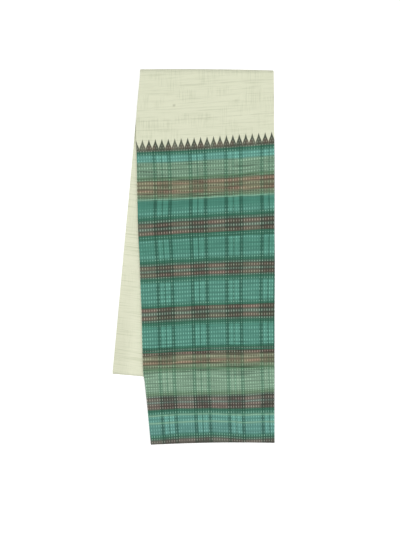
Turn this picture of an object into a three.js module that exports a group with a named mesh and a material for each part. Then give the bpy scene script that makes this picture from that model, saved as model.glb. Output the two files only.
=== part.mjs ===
// A handloom saree put away flat. Its whole length is folded to and fro into a strip as long as the cloth is
// wide, and the strip is folded once more, so that a long front leg with the checked border lies on a shorter
// back leg, turned a few degrees from it. X runs across the strip, +Y towards the fold and +Z up from the
// table. Sizes are in millimetres.
import * as THREE from "three";
import { mergeVertices } from "three/addons/utils/BufferGeometryUtils.js";

// The stack: the layers of one leg, and the walls and bundles of layers that stand for them.
const CLOTH_LAYERS = 24;
const LAYER_PITCH = 0.325; // one layer with the air round it
const LEG_THICKNESS = CLOTH_LAYERS * LAYER_PITCH;
const WALL = 1.0; // each sheet that shows
const SEAM = 0.3; // clearance between solids
const GROOVE_DEPTH = 0.7; // between two hidden bundles of layers

// Levels are counted out from the middle plane, where the two legs lie on each other.
const INNER_SHEET = { from: SEAM / 2, to: SEAM / 2 + WALL };
const OUTER_SHEET = { from: SEAM / 2 + LEG_THICKNESS - WALL, to: SEAM / 2 + LEG_THICKNESS };
const HIDDEN = { from: INNER_SHEET.to + SEAM, to: OUTER_SHEET.from - SEAM };
const MIDDLE_HEIGHT = OUTER_SHEET.to;

// The fold is looser than the legs, and the front leg sinks to the table past the back leg's edges.
const FOLD_LOOSENESS = 0.1;
const LOOSE_LENGTH = 55;
const SINK_START = 14;
const SINK_LENGTH = 40;

// The side edges of each leg in plan, from the fold's axis out to the leg's end.
const FRONT_LEG = [
  { name: "fold axis", xLeft: -92.0, yLeft: 310.9, xRight: 135.8, yRight: 308.3 },
  { name: "upper body", xLeft: -95.3, yLeft: 270.0, xRight: 136.2, yRight: 276.0 },
  { name: "shoulder", xLeft: -97.6, yLeft: 236.0, xRight: 136.5, yRight: 249.0 },
  { name: "temple tips", xLeft: -97.4, yLeft: 200.4, xRight: 136.8, yRight: 215.8 },
  { name: "temple base", xLeft: -96.6, yLeft: 179.4, xRight: 137.0, yRight: 194.8 },
  { name: "upper check", xLeft: -94.4, yLeft: 98.0, xRight: 137.2, yRight: 111.0 },
  { name: "middle check", xLeft: -91.2, yLeft: 0.0, xRight: 137.3, yRight: 10.0 },
  { name: "lower check", xLeft: -87.7, yLeft: -141.0, xRight: 137.4, yRight: -133.5 },
  { name: "above back hem", xLeft: -85.6, yLeft: -201.0, xRight: 137.5, yRight: -195.0 },
  { name: "below back hem", xLeft: -83.6, yLeft: -207.0, xRight: 137.5, yRight: -201.0 },
  { name: "selvedge", xLeft: -71.9, yLeft: -319.6, xRight: 137.5, yRight: -316.2 },
];
const BACK_LEG = [
  { name: "fold axis", xLeft: -92.0, yLeft: 310.9, xRight: 135.8, yRight: 308.3 },
  { name: "selvedge", xLeft: -137.5, yLeft: -198.0, xRight: 83.3, yRight: -220.0 },
];

// How many sections cut each stretch between two rows of a leg's table, and how many turn round the fold.
const FRONT_CUTS = [2, 2, 2, 1, 3, 3, 4, 3, 1, 8];
const BACK_CUTS = [10];
const FOLD_CUTS = 10;
const EDGE_COLUMN = 5; // width of the narrow span along each side
const INNER_COLUMNS = 10; // spans across the strip between the two narrow ones
const BORDER_START = 4; // the FRONT_LEG row where the border begins

// How far each hidden bundle stops short of the strip's outline, from the inside out.
const BUNDLE_TRIMS = [
  { left: 1.5, right: 0.6, front: 1.4, back: 2.4 },
  { left: 0.5, right: 1.9, front: 3.1, back: 1.2 },
  { left: 2.1, right: 0.9, front: 0.7, back: 3.0 },
  { left: 0.8, right: 2.3, front: 2.4, back: 0.6 },
  { left: 1.8, right: 0.5, front: 1.0, back: 1.9 },
];
const INNER_FRONT_TRIM = 2.2; // the innermost layer's, at the front leg's end

const CREAM = 0xdbddc4;
const PALE_CREAM = 0xe3e4c9;
const TEAL_CHECK = 0x548978;

const lerp = THREE.MathUtils.lerp;

// How much looser than flat the stack lies at a distance below the fold's axis.
function looseness(belowFold) {
  return 1 + FOLD_LOOSENESS * Math.exp(-((belowFold / LOOSE_LENGTH) ** 2));
}

// Distance of a plan point from the line through two others, positive on the line's right.
function sideOf(start, end, x, y) {
  const run = new THREE.Vector2().subVectors(end, start);
  return (run.y * (x - start.x) - run.x * (y - start.y)) / run.length();
}

// Share of the back leg's height that a point of the front leg keeps: 1 over the back leg, 0 on the table.
function support(x, y) {
  const [top, end] = BACK_LEG;
  const topRight = new THREE.Vector2(top.xRight, top.yRight);
  const endRight = new THREE.Vector2(end.xRight, end.yRight);
  const endLeft = new THREE.Vector2(end.xLeft, end.yLeft);
  const inside = Math.min(sideOf(topRight, endRight, x, y), sideOf(endRight, endLeft, x, y));
  const beyond = -inside - SINK_START;
  return 1 - THREE.MathUtils.smoothstep(beyond, 0, SINK_LENGTH);
}

// Sections of one leg, each with its two edge points in plan, from the fold's axis out.
function legSections(table, cuts) {
  const sections = [];
  table.slice(1).forEach((row, i) => {
    for (let cut = 0; cut < cuts[i]; cut++) {
      sections.push(sectionBetween(table[i], row, cut / cuts[i]));
    }
  });
  sections.push(sectionBetween(table.at(-1), table.at(-1), 0));
  return sections;
}

function sectionBetween(row, next, share) {
  return {
    left: new THREE.Vector2(lerp(row.xLeft, next.xLeft, share), lerp(row.yLeft, next.yLeft, share)),
    right: new THREE.Vector2(lerp(row.xRight, next.xRight, share), lerp(row.yRight, next.yRight, share)),
  };
}

// The whole path of the strip: up the front leg, round the fold and out along the back leg.
function stripPath() {
  const front = legSections(FRONT_LEG, FRONT_CUTS).map((section) => ({ ...section, turn: Math.PI / 2 }));
  const back = legSections(BACK_LEG, BACK_CUTS).map((section) => ({ ...section, turn: -Math.PI / 2 }));
  const fold = [];
  for (let cut = 1; cut < FOLD_CUTS; cut++) {
    fold.push({ ...front[0], turn: Math.PI * (0.5 - cut / FOLD_CUTS) });
  }
  return [...front.reverse(), ...fold, ...back];
}

const PATH = stripPath();
const FRONT_END = 0;
const BACK_END = PATH.length - 1;
const BORDER_ROW = FRONT_CUTS.slice(BORDER_START).reduce((sum, cuts) => sum + cuts, 0);
const FOLD_AXIS = PATH.find((section) => Math.abs(section.turn) < Math.PI / 2);

// A point of the cloth at a share across the strip and a level out from the middle plane.
function clothPoint(section, across, level) {
  const plan = new THREE.Vector2().lerpVectors(section.left, section.right, across);
  const axisY = lerp(FOLD_AXIS.left.y, FOLD_AXIS.right.y, across);
  const loose = looseness(axisY - plan.y);
  const middle = MIDDLE_HEIGHT * loose;
  if (Math.abs(section.turn) < Math.PI / 2) {
    const radius = level * loose;
    const y = plan.y + radius * Math.cos(section.turn);
    return new THREE.Vector3(plan.x, y, middle + radius * Math.sin(section.turn));
  }
  if (section.turn < 0) return new THREE.Vector3(plan.x, plan.y, middle - level * loose);
  const base = support(plan.x, plan.y) * (MIDDLE_HEIGHT + SEAM / 2) * loose;
  return new THREE.Vector3(plan.x, plan.y, base + (level - SEAM / 2) * loose);
}

// Shares across the strip of a section's columns.
function columnShares(section) {
  const edge = EDGE_COLUMN / section.left.distanceTo(section.right);
  const inner = Array.from({ length: INNER_COLUMNS + 1 }, (_, i) => lerp(edge, 1 - edge, i / INNER_COLUMNS));
  return [0, ...inner, 1];
}

// Moves each point towards its neighbour by a distance.
function drawnIn(points, neighbours, distance) {
  return points.map((point, i) => {
    const share = distance / point.distanceTo(neighbours[i]);
    return point.clone().lerp(neighbours[i], share);
  });
}

// The cloth's points at one level, a row for each section of the path and a column across, drawn in from the
// outline by the level's own distances.
function levelRows({ level, left, right, front, back }, firstRow, lastRow) {
  const full = PATH.slice(firstRow, lastRow + 1).map((section) =>
    columnShares(section).map((across) => clothPoint(section, across, level)),
  );
  const frontPoints = drawnIn(full[0], full[1], front);
  const backPoints = drawnIn(full.at(-1), full.at(-2), back);
  const rows = [frontPoints, ...full.slice(1, -1), backPoints];
  return rows.map((row) => [
    ...drawnIn([row[0]], [row[1]], left),
    ...row.slice(1, -1),
    ...drawnIn([row.at(-1)], [row.at(-2)], right),
  ]);
}

// Two triangles for each cell of a grid of points, facing along the cross product of its two directions.
function gridTriangles(uCount, vCount, pointAt) {
  const points = [];
  for (let u = 0; u < uCount - 1; u++) {
    for (let v = 0; v < vCount - 1; v++) {
      const [near, far] = [pointAt(u, v), pointAt(u + 1, v + 1)];
      points.push(near, pointAt(u + 1, v), far, near, far, pointAt(u, v + 1));
    }
  }
  return points;
}

// A closed block of cloth between two rows of the path, from its lowest level to its highest.
function clothBlock(levels, firstRow, lastRow) {
  const grids = levels.map((level) => levelRows(level, firstRow, lastRow));
  const top = levels.length - 1;
  const end = lastRow - firstRow;
  const side = INNER_COLUMNS + 2;
  const points = [
    ...gridTriangles(side + 1, end + 1, (column, row) => grids[top][row][column]),
    ...gridTriangles(end + 1, side + 1, (row, column) => grids[0][row][column]),
    ...gridTriangles(end + 1, top + 1, (row, level) => grids[level][row][side]),
    ...gridTriangles(top + 1, end + 1, (level, row) => grids[level][row][0]),
    ...gridTriangles(top + 1, side + 1, (level, column) => grids[level][end][column]),
    ...gridTriangles(side + 1, top + 1, (column, level) => grids[level][0][column]),
  ];
  return mergeVertices(new THREE.BufferGeometry().setFromPoints(points), 1e-4);
}

// Levels of one sheet with rounded side edges, drawn in at its front and back ends by the given distances.
function sheetLevels({ from, to }, { front = 0, back = 0 }) {
  const nose = (to - from) / 2;
  return [
    { level: from, left: nose, right: nose, front, back },
    { level: (from + to) / 2, left: 0, right: 0, front, back },
    { level: to, left: nose, right: nose, front, back },
  ];
}

// Levels of the hidden bundles, with a groove before and after each.
function bundleLevels() {
  const thickness = (HIDDEN.to - HIDDEN.from) / BUNDLE_TRIMS.length;
  const levelAt = (bundles, trims, deeper) => {
    const deepest = (edge) => Math.max(...trims.map((trim) => trim[edge])) + deeper;
    return {
      level: HIDDEN.from + bundles * thickness,
      left: deepest("left"),
      right: deepest("right"),
      front: deepest("front"),
      back: deepest("back"),
    };
  };
  const levels = BUNDLE_TRIMS.flatMap((trim, i) => [
    levelAt(i + 0.5, [trim], 0),
    levelAt(i + 1, BUNDLE_TRIMS.slice(i, i + 2), GROOVE_DEPTH),
  ]);
  return [levelAt(0, [BUNDLE_TRIMS[0]], GROOVE_DEPTH), ...levels];
}

const saree = new THREE.Group();

function addPiece(name, color, geometry) {
  const cloth = new THREE.MeshStandardMaterial({ color, roughness: 0.85, metalness: 0 });
  const piece = new THREE.Mesh(geometry, cloth);
  piece.name = name;
  saree.add(piece);
}

// The checked stretch of the top layer, from the selvedge up to the base of the temple spikes.
const borderLevels = sheetLevels(OUTER_SHEET, { back: SEAM / 2 });
addPiece("border_sheet", TEAL_CHECK, clothBlock(borderLevels, FRONT_END, BORDER_ROW));

// The plain stretch of the top layer, which goes round the fold and lies on the table under the rest.
const bodyLevels = sheetLevels(OUTER_SHEET, { front: SEAM / 2 });
addPiece("body_sheet", CREAM, clothBlock(bodyLevels, BORDER_ROW, BACK_END));

// The innermost layer, which shows where the back leg comes out from under the front one.
const innerLevels = sheetLevels(INNER_SHEET, { front: INNER_FRONT_TRIM });
addPiece("inner_sheet", PALE_CREAM, clothBlock(innerLevels, FRONT_END, BACK_END));

// All the layers between those, round the same fold, in bundles that show at the sides and the ends.
addPiece("hidden_folds", CREAM, clothBlock(bundleLevels(), FRONT_END, BACK_END));

export default saree;
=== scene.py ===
"""A handloom saree, folded into a strip and once over, lying on a pale floor.

The strip is one long path: from the checked selvedge up the front leg, round the fold at +Y and out along
the back leg. Each piece of cloth is a grid laid on that path at its own level in the stack, and one weave,
charted in the cloth's own millimetres, runs over all of them.
"""

import logging
import math
from collections.abc import Sequence
from dataclasses import dataclass, field
from enum import Enum

import bpy
import numpy as np
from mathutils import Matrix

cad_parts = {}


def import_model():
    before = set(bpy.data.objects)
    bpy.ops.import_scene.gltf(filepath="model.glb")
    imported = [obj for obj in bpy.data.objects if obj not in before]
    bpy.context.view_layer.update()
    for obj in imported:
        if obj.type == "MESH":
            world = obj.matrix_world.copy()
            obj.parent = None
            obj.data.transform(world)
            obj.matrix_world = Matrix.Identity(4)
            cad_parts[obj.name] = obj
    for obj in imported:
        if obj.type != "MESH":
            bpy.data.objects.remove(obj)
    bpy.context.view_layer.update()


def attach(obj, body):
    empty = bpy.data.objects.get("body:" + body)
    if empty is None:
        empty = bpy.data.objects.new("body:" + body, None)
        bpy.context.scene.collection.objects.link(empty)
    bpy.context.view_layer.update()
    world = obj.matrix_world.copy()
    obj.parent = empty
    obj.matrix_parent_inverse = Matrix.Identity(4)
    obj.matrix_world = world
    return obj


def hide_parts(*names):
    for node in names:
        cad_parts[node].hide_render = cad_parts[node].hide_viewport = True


LOG = logging.getLogger("saree")
MM = 0.001
WEAVE_MAP = "weave"

# How far the innermost layer steps back from the selvedge, and how far its face lies outside the gap
# between the legs, in millimetres.
INNER_SETBACK = 2.0
INNER_RISE = 0.32

Points = np.ndarray
Colour = tuple[int, int, int]


def smooth_step(low: float, high: float, value: Points) -> Points:
    """Rise from 0 to 1 between two values, level at both ends.

    Args:
        low: The value where the rise starts.
        high: The value where it ends.
        value: The values to read it at.

    Returns:
        The share risen at each value.
    """
    share = np.clip((value - low) / (high - low), 0.0, 1.0)
    return share * share * (3.0 - 2.0 * share)


def smooth_curve(knots: Points, values: Points, at: Points) -> Points:
    """Read a smooth curve through a short table.

    Args:
        knots: The table's places, rising.
        values: The table's values at those places.
        at: The places to read.

    Returns:
        The curve's value at each place.
    """
    slopes = np.gradient(values, knots)
    cell = np.clip(np.searchsorted(knots, at) - 1, 0, len(knots) - 2)
    span = knots[cell + 1] - knots[cell]
    share = np.clip((at - knots[cell]) / span, 0.0, 1.0)
    square, cube = share**2, share**3
    return (
        (2 * cube - 3 * square + 1) * values[cell]
        + (cube - 2 * square + share) * span * slopes[cell]
        + (3 * square - 2 * cube) * values[cell + 1]
        + (cube - square) * span * slopes[cell + 1]
    )


def wander(places: Points, seed: int, wave: float) -> Points:
    """Draw a slow, uneven line, as of a fold laid by hand.

    Args:
        places: Millimetres along the line.
        seed: Which line this is.
        wave: Its longest wave, in millimetres.

    Returns:
        Heights from about -1 to 1.
    """
    turns = np.random.default_rng(seed).uniform(0.0, math.tau, 4)
    waves = (1.0, 0.53, 0.31, 0.17)
    strengths = (0.5, 0.28, 0.14, 0.08)
    return sum(
        strength * np.sin(math.tau * places / (wave * part) + turn)
        for strength, part, turn in zip(strengths, waves, turns)
    )


@dataclass(frozen=True)
class EdgeRow:
    """Where one line of the weave meets the strip's two side edges, and its bow, in millimetres."""

    name: str
    x_left: float
    y_left: float
    x_right: float
    y_right: float
    bow: float


FRONT_ROWS = (
    EdgeRow("selvedge", -72.7, -319.5, 137.9, -316.3, 1.9),
    EdgeRow("free end", -78.0, -265.0, 137.9, -260.1, 1.3),
    EdgeRow("hem step", -82.2, -222.0, 137.9, -216.0, 0.9),
    EdgeRow("below back hem", -83.5, -210.0, 137.9, -204.0, 0.9),
    EdgeRow("above back hem", -85.5, -199.0, 137.9, -193.0, 0.9),
    EdgeRow("on back end", -86.2, -186.0, 137.8, -179.8, 0.9),
    EdgeRow("lower check", -87.4, -141.0, 137.9, -133.5, 0.8),
    EdgeRow("third teal band", -88.2, -97.0, 137.9, -88.7, 0.8),
    EdgeRow("below middle check", -90.8, -38.0, 138.2, -28.8, 0.8),
    EdgeRow("middle check", -91.9, 0.0, 138.2, 10.0, 0.6),
    EdgeRow("above middle check", -93.3, 24.0, 137.9, 34.6, 0.4),
    EdgeRow("upper check", -95.5, 98.0, 137.7, 111.0, -0.4),
    EdgeRow("temple base", -97.0, 179.4, 137.3, 194.8, -1.8),
    EdgeRow("temple tips", -97.9, 200.4, 136.8, 215.8, -1.8),
    EdgeRow("shoulder", -97.5, 236.0, 136.7, 249.0, -1.2),
    EdgeRow("upper body", -94.8, 270.0, 136.6, 276.0, -0.5),
    EdgeRow("fold axis", -90.9, 310.6, 136.1, 308.6, 1.1),
)


@dataclass(frozen=True)
class Drift:
    """How far yarns have drifted from their even places on one row of the border, in millimetres.

    The row is given by its distance below the base of the temple spikes. The offsets are read at the shares
    across the strip that go with the table.
    """

    along: float
    offsets: tuple[float, ...]


WEFT_DRIFTS = (
    Drift(-8.0, (-0.5, 0.1, 0.0, 0.0, 0.8)),
    Drift(8.0, (-0.6, 0.5, 0.0, 0.7, 1.1)),
    Drift(30.0, (-1.0, 0.8, 0.0, 1.6, 0.8)),
    Drift(55.0, (-1.5, 0.5, 0.0, 0.4, -0.4)),
    Drift(78.0, (-1.5, -0.1, 0.0, 0.1, 0.1)),
    Drift(100.0, (0.1, -0.1, 0.0, 0.0, -0.1)),
    Drift(125.0, (1.4, 0.4, 0.0, -0.5, -1.0)),
    Drift(190.0, (1.0, 0.6, 0.0, 0.2, 0.2)),
    Drift(250.0, (1.0, 0.7, 0.0, 0.0, -0.5)),
    Drift(330.0, (1.7, 0.8, 0.0, 0.3, 0.7)),
    Drift(380.0, (0.6, 0.3, 0.0, 1.0, -0.6)),
    Drift(425.0, (-0.7, -0.7, 0.0, 0.2, -2.0)),
    Drift(450.0, (0.2, -0.7, 0.0, 1.6, 0.2)),
    Drift(480.0, (2.3, 0.4, 0.0, 3.6, 2.3)),
    Drift(506.0, (2.6, 0.7, 0.0, 3.8, 2.3)),
)
WEFT_SHARES = (0.05, 0.24, 0.5, 0.75, 0.95)
WARP_DRIFTS = (
    Drift(-8.0, (-0.2, 0.0, 0.3)),
    Drift(31.0, (-1.7, -0.8, 0.3)),
    Drift(56.0, (-1.7, -0.8, 0.3)),
    Drift(82.0, (-1.3, -0.5, 0.2)),
    Drift(107.0, (0.3, 0.0, -0.2)),
    Drift(133.0, (1.2, 0.0, -0.5)),
    Drift(158.0, (0.5, 0.0, -0.2)),
    Drift(184.0, (-0.3, 0.0, 0.2)),
    Drift(222.0, (-0.4, 0.0, 1.3)),
    Drift(272.0, (-0.2, 0.0, 1.8)),
    Drift(311.0, (0.2, 0.0, 1.4)),
    Drift(337.0, (0.4, 0.0, 1.0)),
    Drift(362.0, (1.0, 0.0, 0.2)),
    Drift(388.0, (1.4, 0.0, -0.3)),
    Drift(413.0, (1.0, -0.3, -1.3)),
    Drift(439.0, (0.3, -1.3, -1.7)),
    Drift(464.0, (0.1, -1.5, -1.9)),
    Drift(490.0, (-0.8, -2.4, -3.0)),
)
WARP_SHARES = (0.2, 0.5, 0.82)


@dataclass(frozen=True)
class Crease:
    """A soft trough, or with a positive height a ridge, pressed across one leg, in millimetres.

    The core is the share of its length, either way from its middle, that has its full height.
    """

    x: float
    y: float
    turn: float
    length: float
    width: float
    height: float
    core: float = 0.22


FRONT_CREASES = (
    Crease(10.0, 287.0, 3.8, 240.0, 5.0, -0.35),
    Crease(75.0, 270.0, 4.0, 150.0, 7.0, 0.25),
    Crease(-30.0, 262.0, 2.0, 130.0, 6.0, -0.25),
    Crease(25.0, 226.0, 4.0, 220.0, 5.0, -0.35),
    Crease(-60.0, 240.0, -12.0, 80.0, 9.0, 0.25),
    Crease(60.0, 120.0, 3.0, 150.0, 12.0, 0.30),
    Crease(-40.0, 60.0, 5.0, 120.0, 10.0, -0.28),
    Crease(80.0, 20.0, -8.0, 130.0, 14.0, 0.32),
    Crease(-10.0, -60.0, 2.0, 190.0, 12.0, -0.30),
    Crease(60.0, -120.0, 6.0, 120.0, 11.0, 0.28),
    Crease(-20.0, -180.0, -3.0, 140.0, 14.0, -0.30),
    Crease(30.0, -262.0, 0.0, 190.0, 12.0, 0.35),
    Crease(100.0, -290.0, 18.0, 80.0, 9.0, -0.25),
)
BACK_CREASES = (
    Crease(-102.0, 150.0, -9.0, 60.0, 4.0, -0.40),
    Crease(-106.0, 96.0, -14.0, 70.0, 5.0, 0.35),
    Crease(-110.0, 52.0, -7.0, 80.0, 5.0, -0.45),
    Crease(-112.0, 4.0, -11.0, 80.0, 6.0, 0.35),
    Crease(-116.0, -38.0, -6.0, 90.0, 5.0, -0.45),
    Crease(-118.0, -86.0, -12.0, 90.0, 6.0, 0.40),
    Crease(-122.0, -122.0, -8.0, 90.0, 5.0, -0.45),
    Crease(-124.0, -168.0, -10.0, 90.0, 6.0, -0.40),
    Crease(40.0, -150.0, -7.0, 160.0, 9.0, 0.35),
    Crease(0.0, 60.0, -9.0, 180.0, 10.0, -0.35),
)


def crease_relief(creases: Sequence[Crease], x: Points, y: Points) -> Points:
    """Add up the heights of a leg's creases.

    Args:
        creases: The leg's troughs and ridges.
        x: Places across, in millimetres.
        y: Places along, in millimetres.

    Returns:
        The height to add at each place.
    """
    total = np.zeros_like(x)
    for crease in creases:
        turn = math.radians(crease.turn)
        along = (x - crease.x) * math.cos(turn) + (y - crease.y) * math.sin(turn)
        off = (y - crease.y) * math.cos(turn) - (x - crease.x) * math.sin(turn)
        reach = smooth_step(0.5 * crease.length, crease.core * crease.length, np.abs(along))
        total += crease.height * reach * np.exp(-((off / (0.5 * crease.width)) ** 2))
    return total


@dataclass
class StripPath:
    """The path of the folded strip and the stack's thickness on it, all in millimetres.

    A place on it is a run and a level. The run grows from the selvedge of the front leg, through 0 at the
    base of the temple spikes, round the fold and out along the back leg. The level counts out from the
    middle plane, where the two legs lie on each other.
    """

    layers: int = 24
    layer_pitch: float = 0.325
    middle_gap: float = 0.15
    looseness: float = 0.1
    loose_length: float = 55.0
    sink_start: float = 14.0
    sink_length: float = 40.0
    back_end: tuple[float, float, float, float] = (-138.0, -198.7, 83.3, -218.0)
    weft_slope: float = 0.066
    column_x: float = 19.4
    crease_start: float = 60.0
    strip_width: float = 228.0
    stripe_hub_x: float = 118.0
    stripe_closing: float = 5363.0

    def __post_init__(self) -> None:
        """Work out the runs of the rows, the fold and the back leg from the edge table."""
        rows = FRONT_ROWS
        left = np.array([(row.x_left, row.y_left) for row in rows])
        right = np.array([(row.x_right, row.y_right) for row in rows])
        share = (self.column_x - left[:, 0]) / (right[:, 0] - left[:, 0])
        centre_y = left[:, 1] + share * (right[:, 1] - left[:, 1])
        names = [row.name for row in rows]
        self.base_y = float(centre_y[names.index("temple base")])
        self.knots = centre_y - self.base_y
        self.edges = np.column_stack([left, right, [row.bow for row in rows]])
        self.leg = self.layers * self.layer_pitch
        self.outside = self.middle_gap + self.leg
        self.front_end = float(self.knots[0])
        self.axis_run = float(self.knots[-1])
        self.fold_run = math.pi * self.outside * (1.0 + self.looseness)
        axis, end = self.edges[-1], np.array(self.back_end)
        self.back_run = float(np.hypot(*(0.5 * (end[:2] + end[2:]) - 0.5 * (axis[:2] + axis[2:4]))))
        self.back_end_run = self.axis_run + self.fold_run + self.back_run

    def loose(self, below: Points) -> Points:
        """Give how much looser than flat the stack lies at a distance below the fold's axis."""
        return 1.0 + self.looseness * np.exp(-((below / self.loose_length) ** 2))

    def support(self, x: Points, y: Points) -> Points:
        """Give the share of the back leg's height that the front leg keeps at a place.

        Args:
            x: Places across.
            y: Places along.

        Returns:
            1 over the back leg, 0 where the front leg lies on the table, and a soft slope between.
        """
        axis = self.edges[-1]
        start = np.array([axis[2], axis[3]])
        corner = np.array(self.back_end[2:])
        far = np.array(self.back_end[:2])
        beyond = []
        for near, to in ((start, corner), (corner, far)):
            run = to - near
            inside = (run[1] * (x - near[0]) - run[0] * (y - near[1])) / np.hypot(*run)
            beyond.append(-inside - self.sink_start)
        return 1.0 - smooth_step(0.0, self.sink_length, np.maximum(*beyond))

    def places(self, across: Points, run: Points, level: Points) -> Points:
        """Place points of the cloth.

        Args:
            across: Shares across the strip, 0 at the left edge.
            run: Runs along the strip.
            level: Levels in the stack.

        Returns:
            Points in millimetres, with the three coordinates on the last axis.
        """
        across, run, level = np.broadcast_arrays(across, run, level)
        on_front = np.clip(run, self.knots[0], self.knots[-1])
        edge = [smooth_curve(self.knots, column, on_front) for column in self.edges.T]
        x = edge[0] + across * (edge[2] - edge[0])
        y = edge[1] + across * (edge[3] - edge[1]) + edge[4] * np.sin(math.pi * across)
        axis = self.edges[-1]
        axis_x = axis[0] + across * (axis[2] - axis[0])
        axis_y = axis[1] + across * (axis[3] - axis[1]) + axis[4] * np.sin(math.pi * across)
        down_back = np.clip((run - self.axis_run - self.fold_run) / self.back_run, 0.0, None)
        end_x = self.back_end[0] + across * (self.back_end[2] - self.back_end[0])
        end_y = self.back_end[1] + across * (self.back_end[3] - self.back_end[1])
        back = run > self.axis_run + self.fold_run
        x = np.where(back, axis_x + down_back * (end_x - axis_x), x)
        y = np.where(back, axis_y + down_back * (end_y - axis_y), y)
        turning = (run > self.axis_run) & ~back
        turn = math.pi * (0.5 - np.clip((run - self.axis_run) / self.fold_run, 0.0, 1.0))
        loose = self.loose(axis_y - y)
        middle = self.outside * loose
        depth = level / self.outside
        between = crease_relief(BACK_CREASES, x, y) * smooth_step(0.0, self.crease_start, axis_y - y)
        on_top = crease_relief(FRONT_CREASES, x, y) * depth
        base = self.support(x, y) * (self.outside + self.middle_gap) * loose
        front_z = base + (level - self.middle_gap) * loose + on_top + between * self.support(x, y)
        back_z = middle - level * loose + between * (1.0 - depth)
        fold_z = middle + level * loose * np.sin(turn)
        fold_y = y + level * loose * np.cos(turn)
        z = np.where(back, back_z, np.where(turning, fold_z, front_z))
        return np.stack([x, np.where(turning, fold_y, y), z], axis=-1)

    def drift(
        self, table: Sequence[Drift], shares: Sequence[float], across: Points, along: Points
    ) -> Points:
        """Read how far yarns have drifted from their even places.

        Args:
            table: The drifts, row by row.
            shares: The shares across the strip that the table's offsets are for.
            across: Shares across the strip to read at.
            along: Distances below the base of the temple spikes to read at.

        Returns:
            The offset at each place.
        """
        knots = np.array([row.along for row in table])
        held = np.clip(along, knots[0], knots[-1])
        columns = [
            smooth_curve(knots, np.array(offsets), held) for offsets in zip(*(row.offsets for row in table))
        ]
        place = np.clip(across, shares[0], shares[-1])
        weights = [np.interp(place, shares, row) for row in np.eye(len(shares))]
        return sum(weight * column for weight, column in zip(weights, columns))

    def weave(self, across: Points, run: Points) -> Points:
        """Read the weave's own coordinates, which the patterns are charted in.

        Args:
            across: Shares across the strip.
            run: Runs along the strip.

        Returns:
            The stripes' coordinate and the bands' coordinate in millimetres, on the last axis. The bands'
            coordinate is 0 at the base of the temple spikes and grows towards the selvedge.
        """
        across, run = np.broadcast_arrays(across, run)
        on_front = np.clip(run, self.knots[0], self.axis_run)
        edge = [smooth_curve(self.knots, column, on_front) for column in self.edges[:, :4].T]
        x = edge[0] + across * (edge[2] - edge[0])
        y = edge[1] + across * (edge[3] - edge[1])
        closing = 1.0 - np.clip(-run, 0.0, None) / self.stripe_closing
        stripes = (x - self.stripe_hub_x) / closing + self.drift(WARP_DRIFTS, WARP_SHARES, across, -run)
        slanted = self.base_y - y + self.weft_slope * (x - self.column_x)
        bands = np.where(run < 0.0, -run, slanted)
        past_axis = np.clip(run - self.axis_run, 0.0, None)
        bands -= past_axis + self.drift(WEFT_DRIFTS, WEFT_SHARES, across, -run)
        return np.stack([stripes, bands], axis=-1)


def linear(colour: Colour) -> tuple[float, float, float, float]:
    """Turn a colour's 0 to 255 values into the light that a shader works with.

    Args:
        colour: Its red, green and blue values.

    Returns:
        The light of each, and 1 for solid.
    """
    shares = [value / 255.0 for value in colour]
    lit = [share / 12.92 if share <= 0.04045 else ((share + 0.055) / 1.055) ** 2.4 for share in shares]
    return (lit[0], lit[1], lit[2], 1.0)


@dataclass(frozen=True)
class Grain:
    """One unevenness of the cloth.

    It has so many waves to a millimetre each way, and its patches rise between two heights of its noise.
    """

    across: float
    along: float
    seed: float = 0.0
    detail: float = 2.0
    roughness: float = 0.5
    low: float = 0.0
    high: float = 1.0


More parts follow.
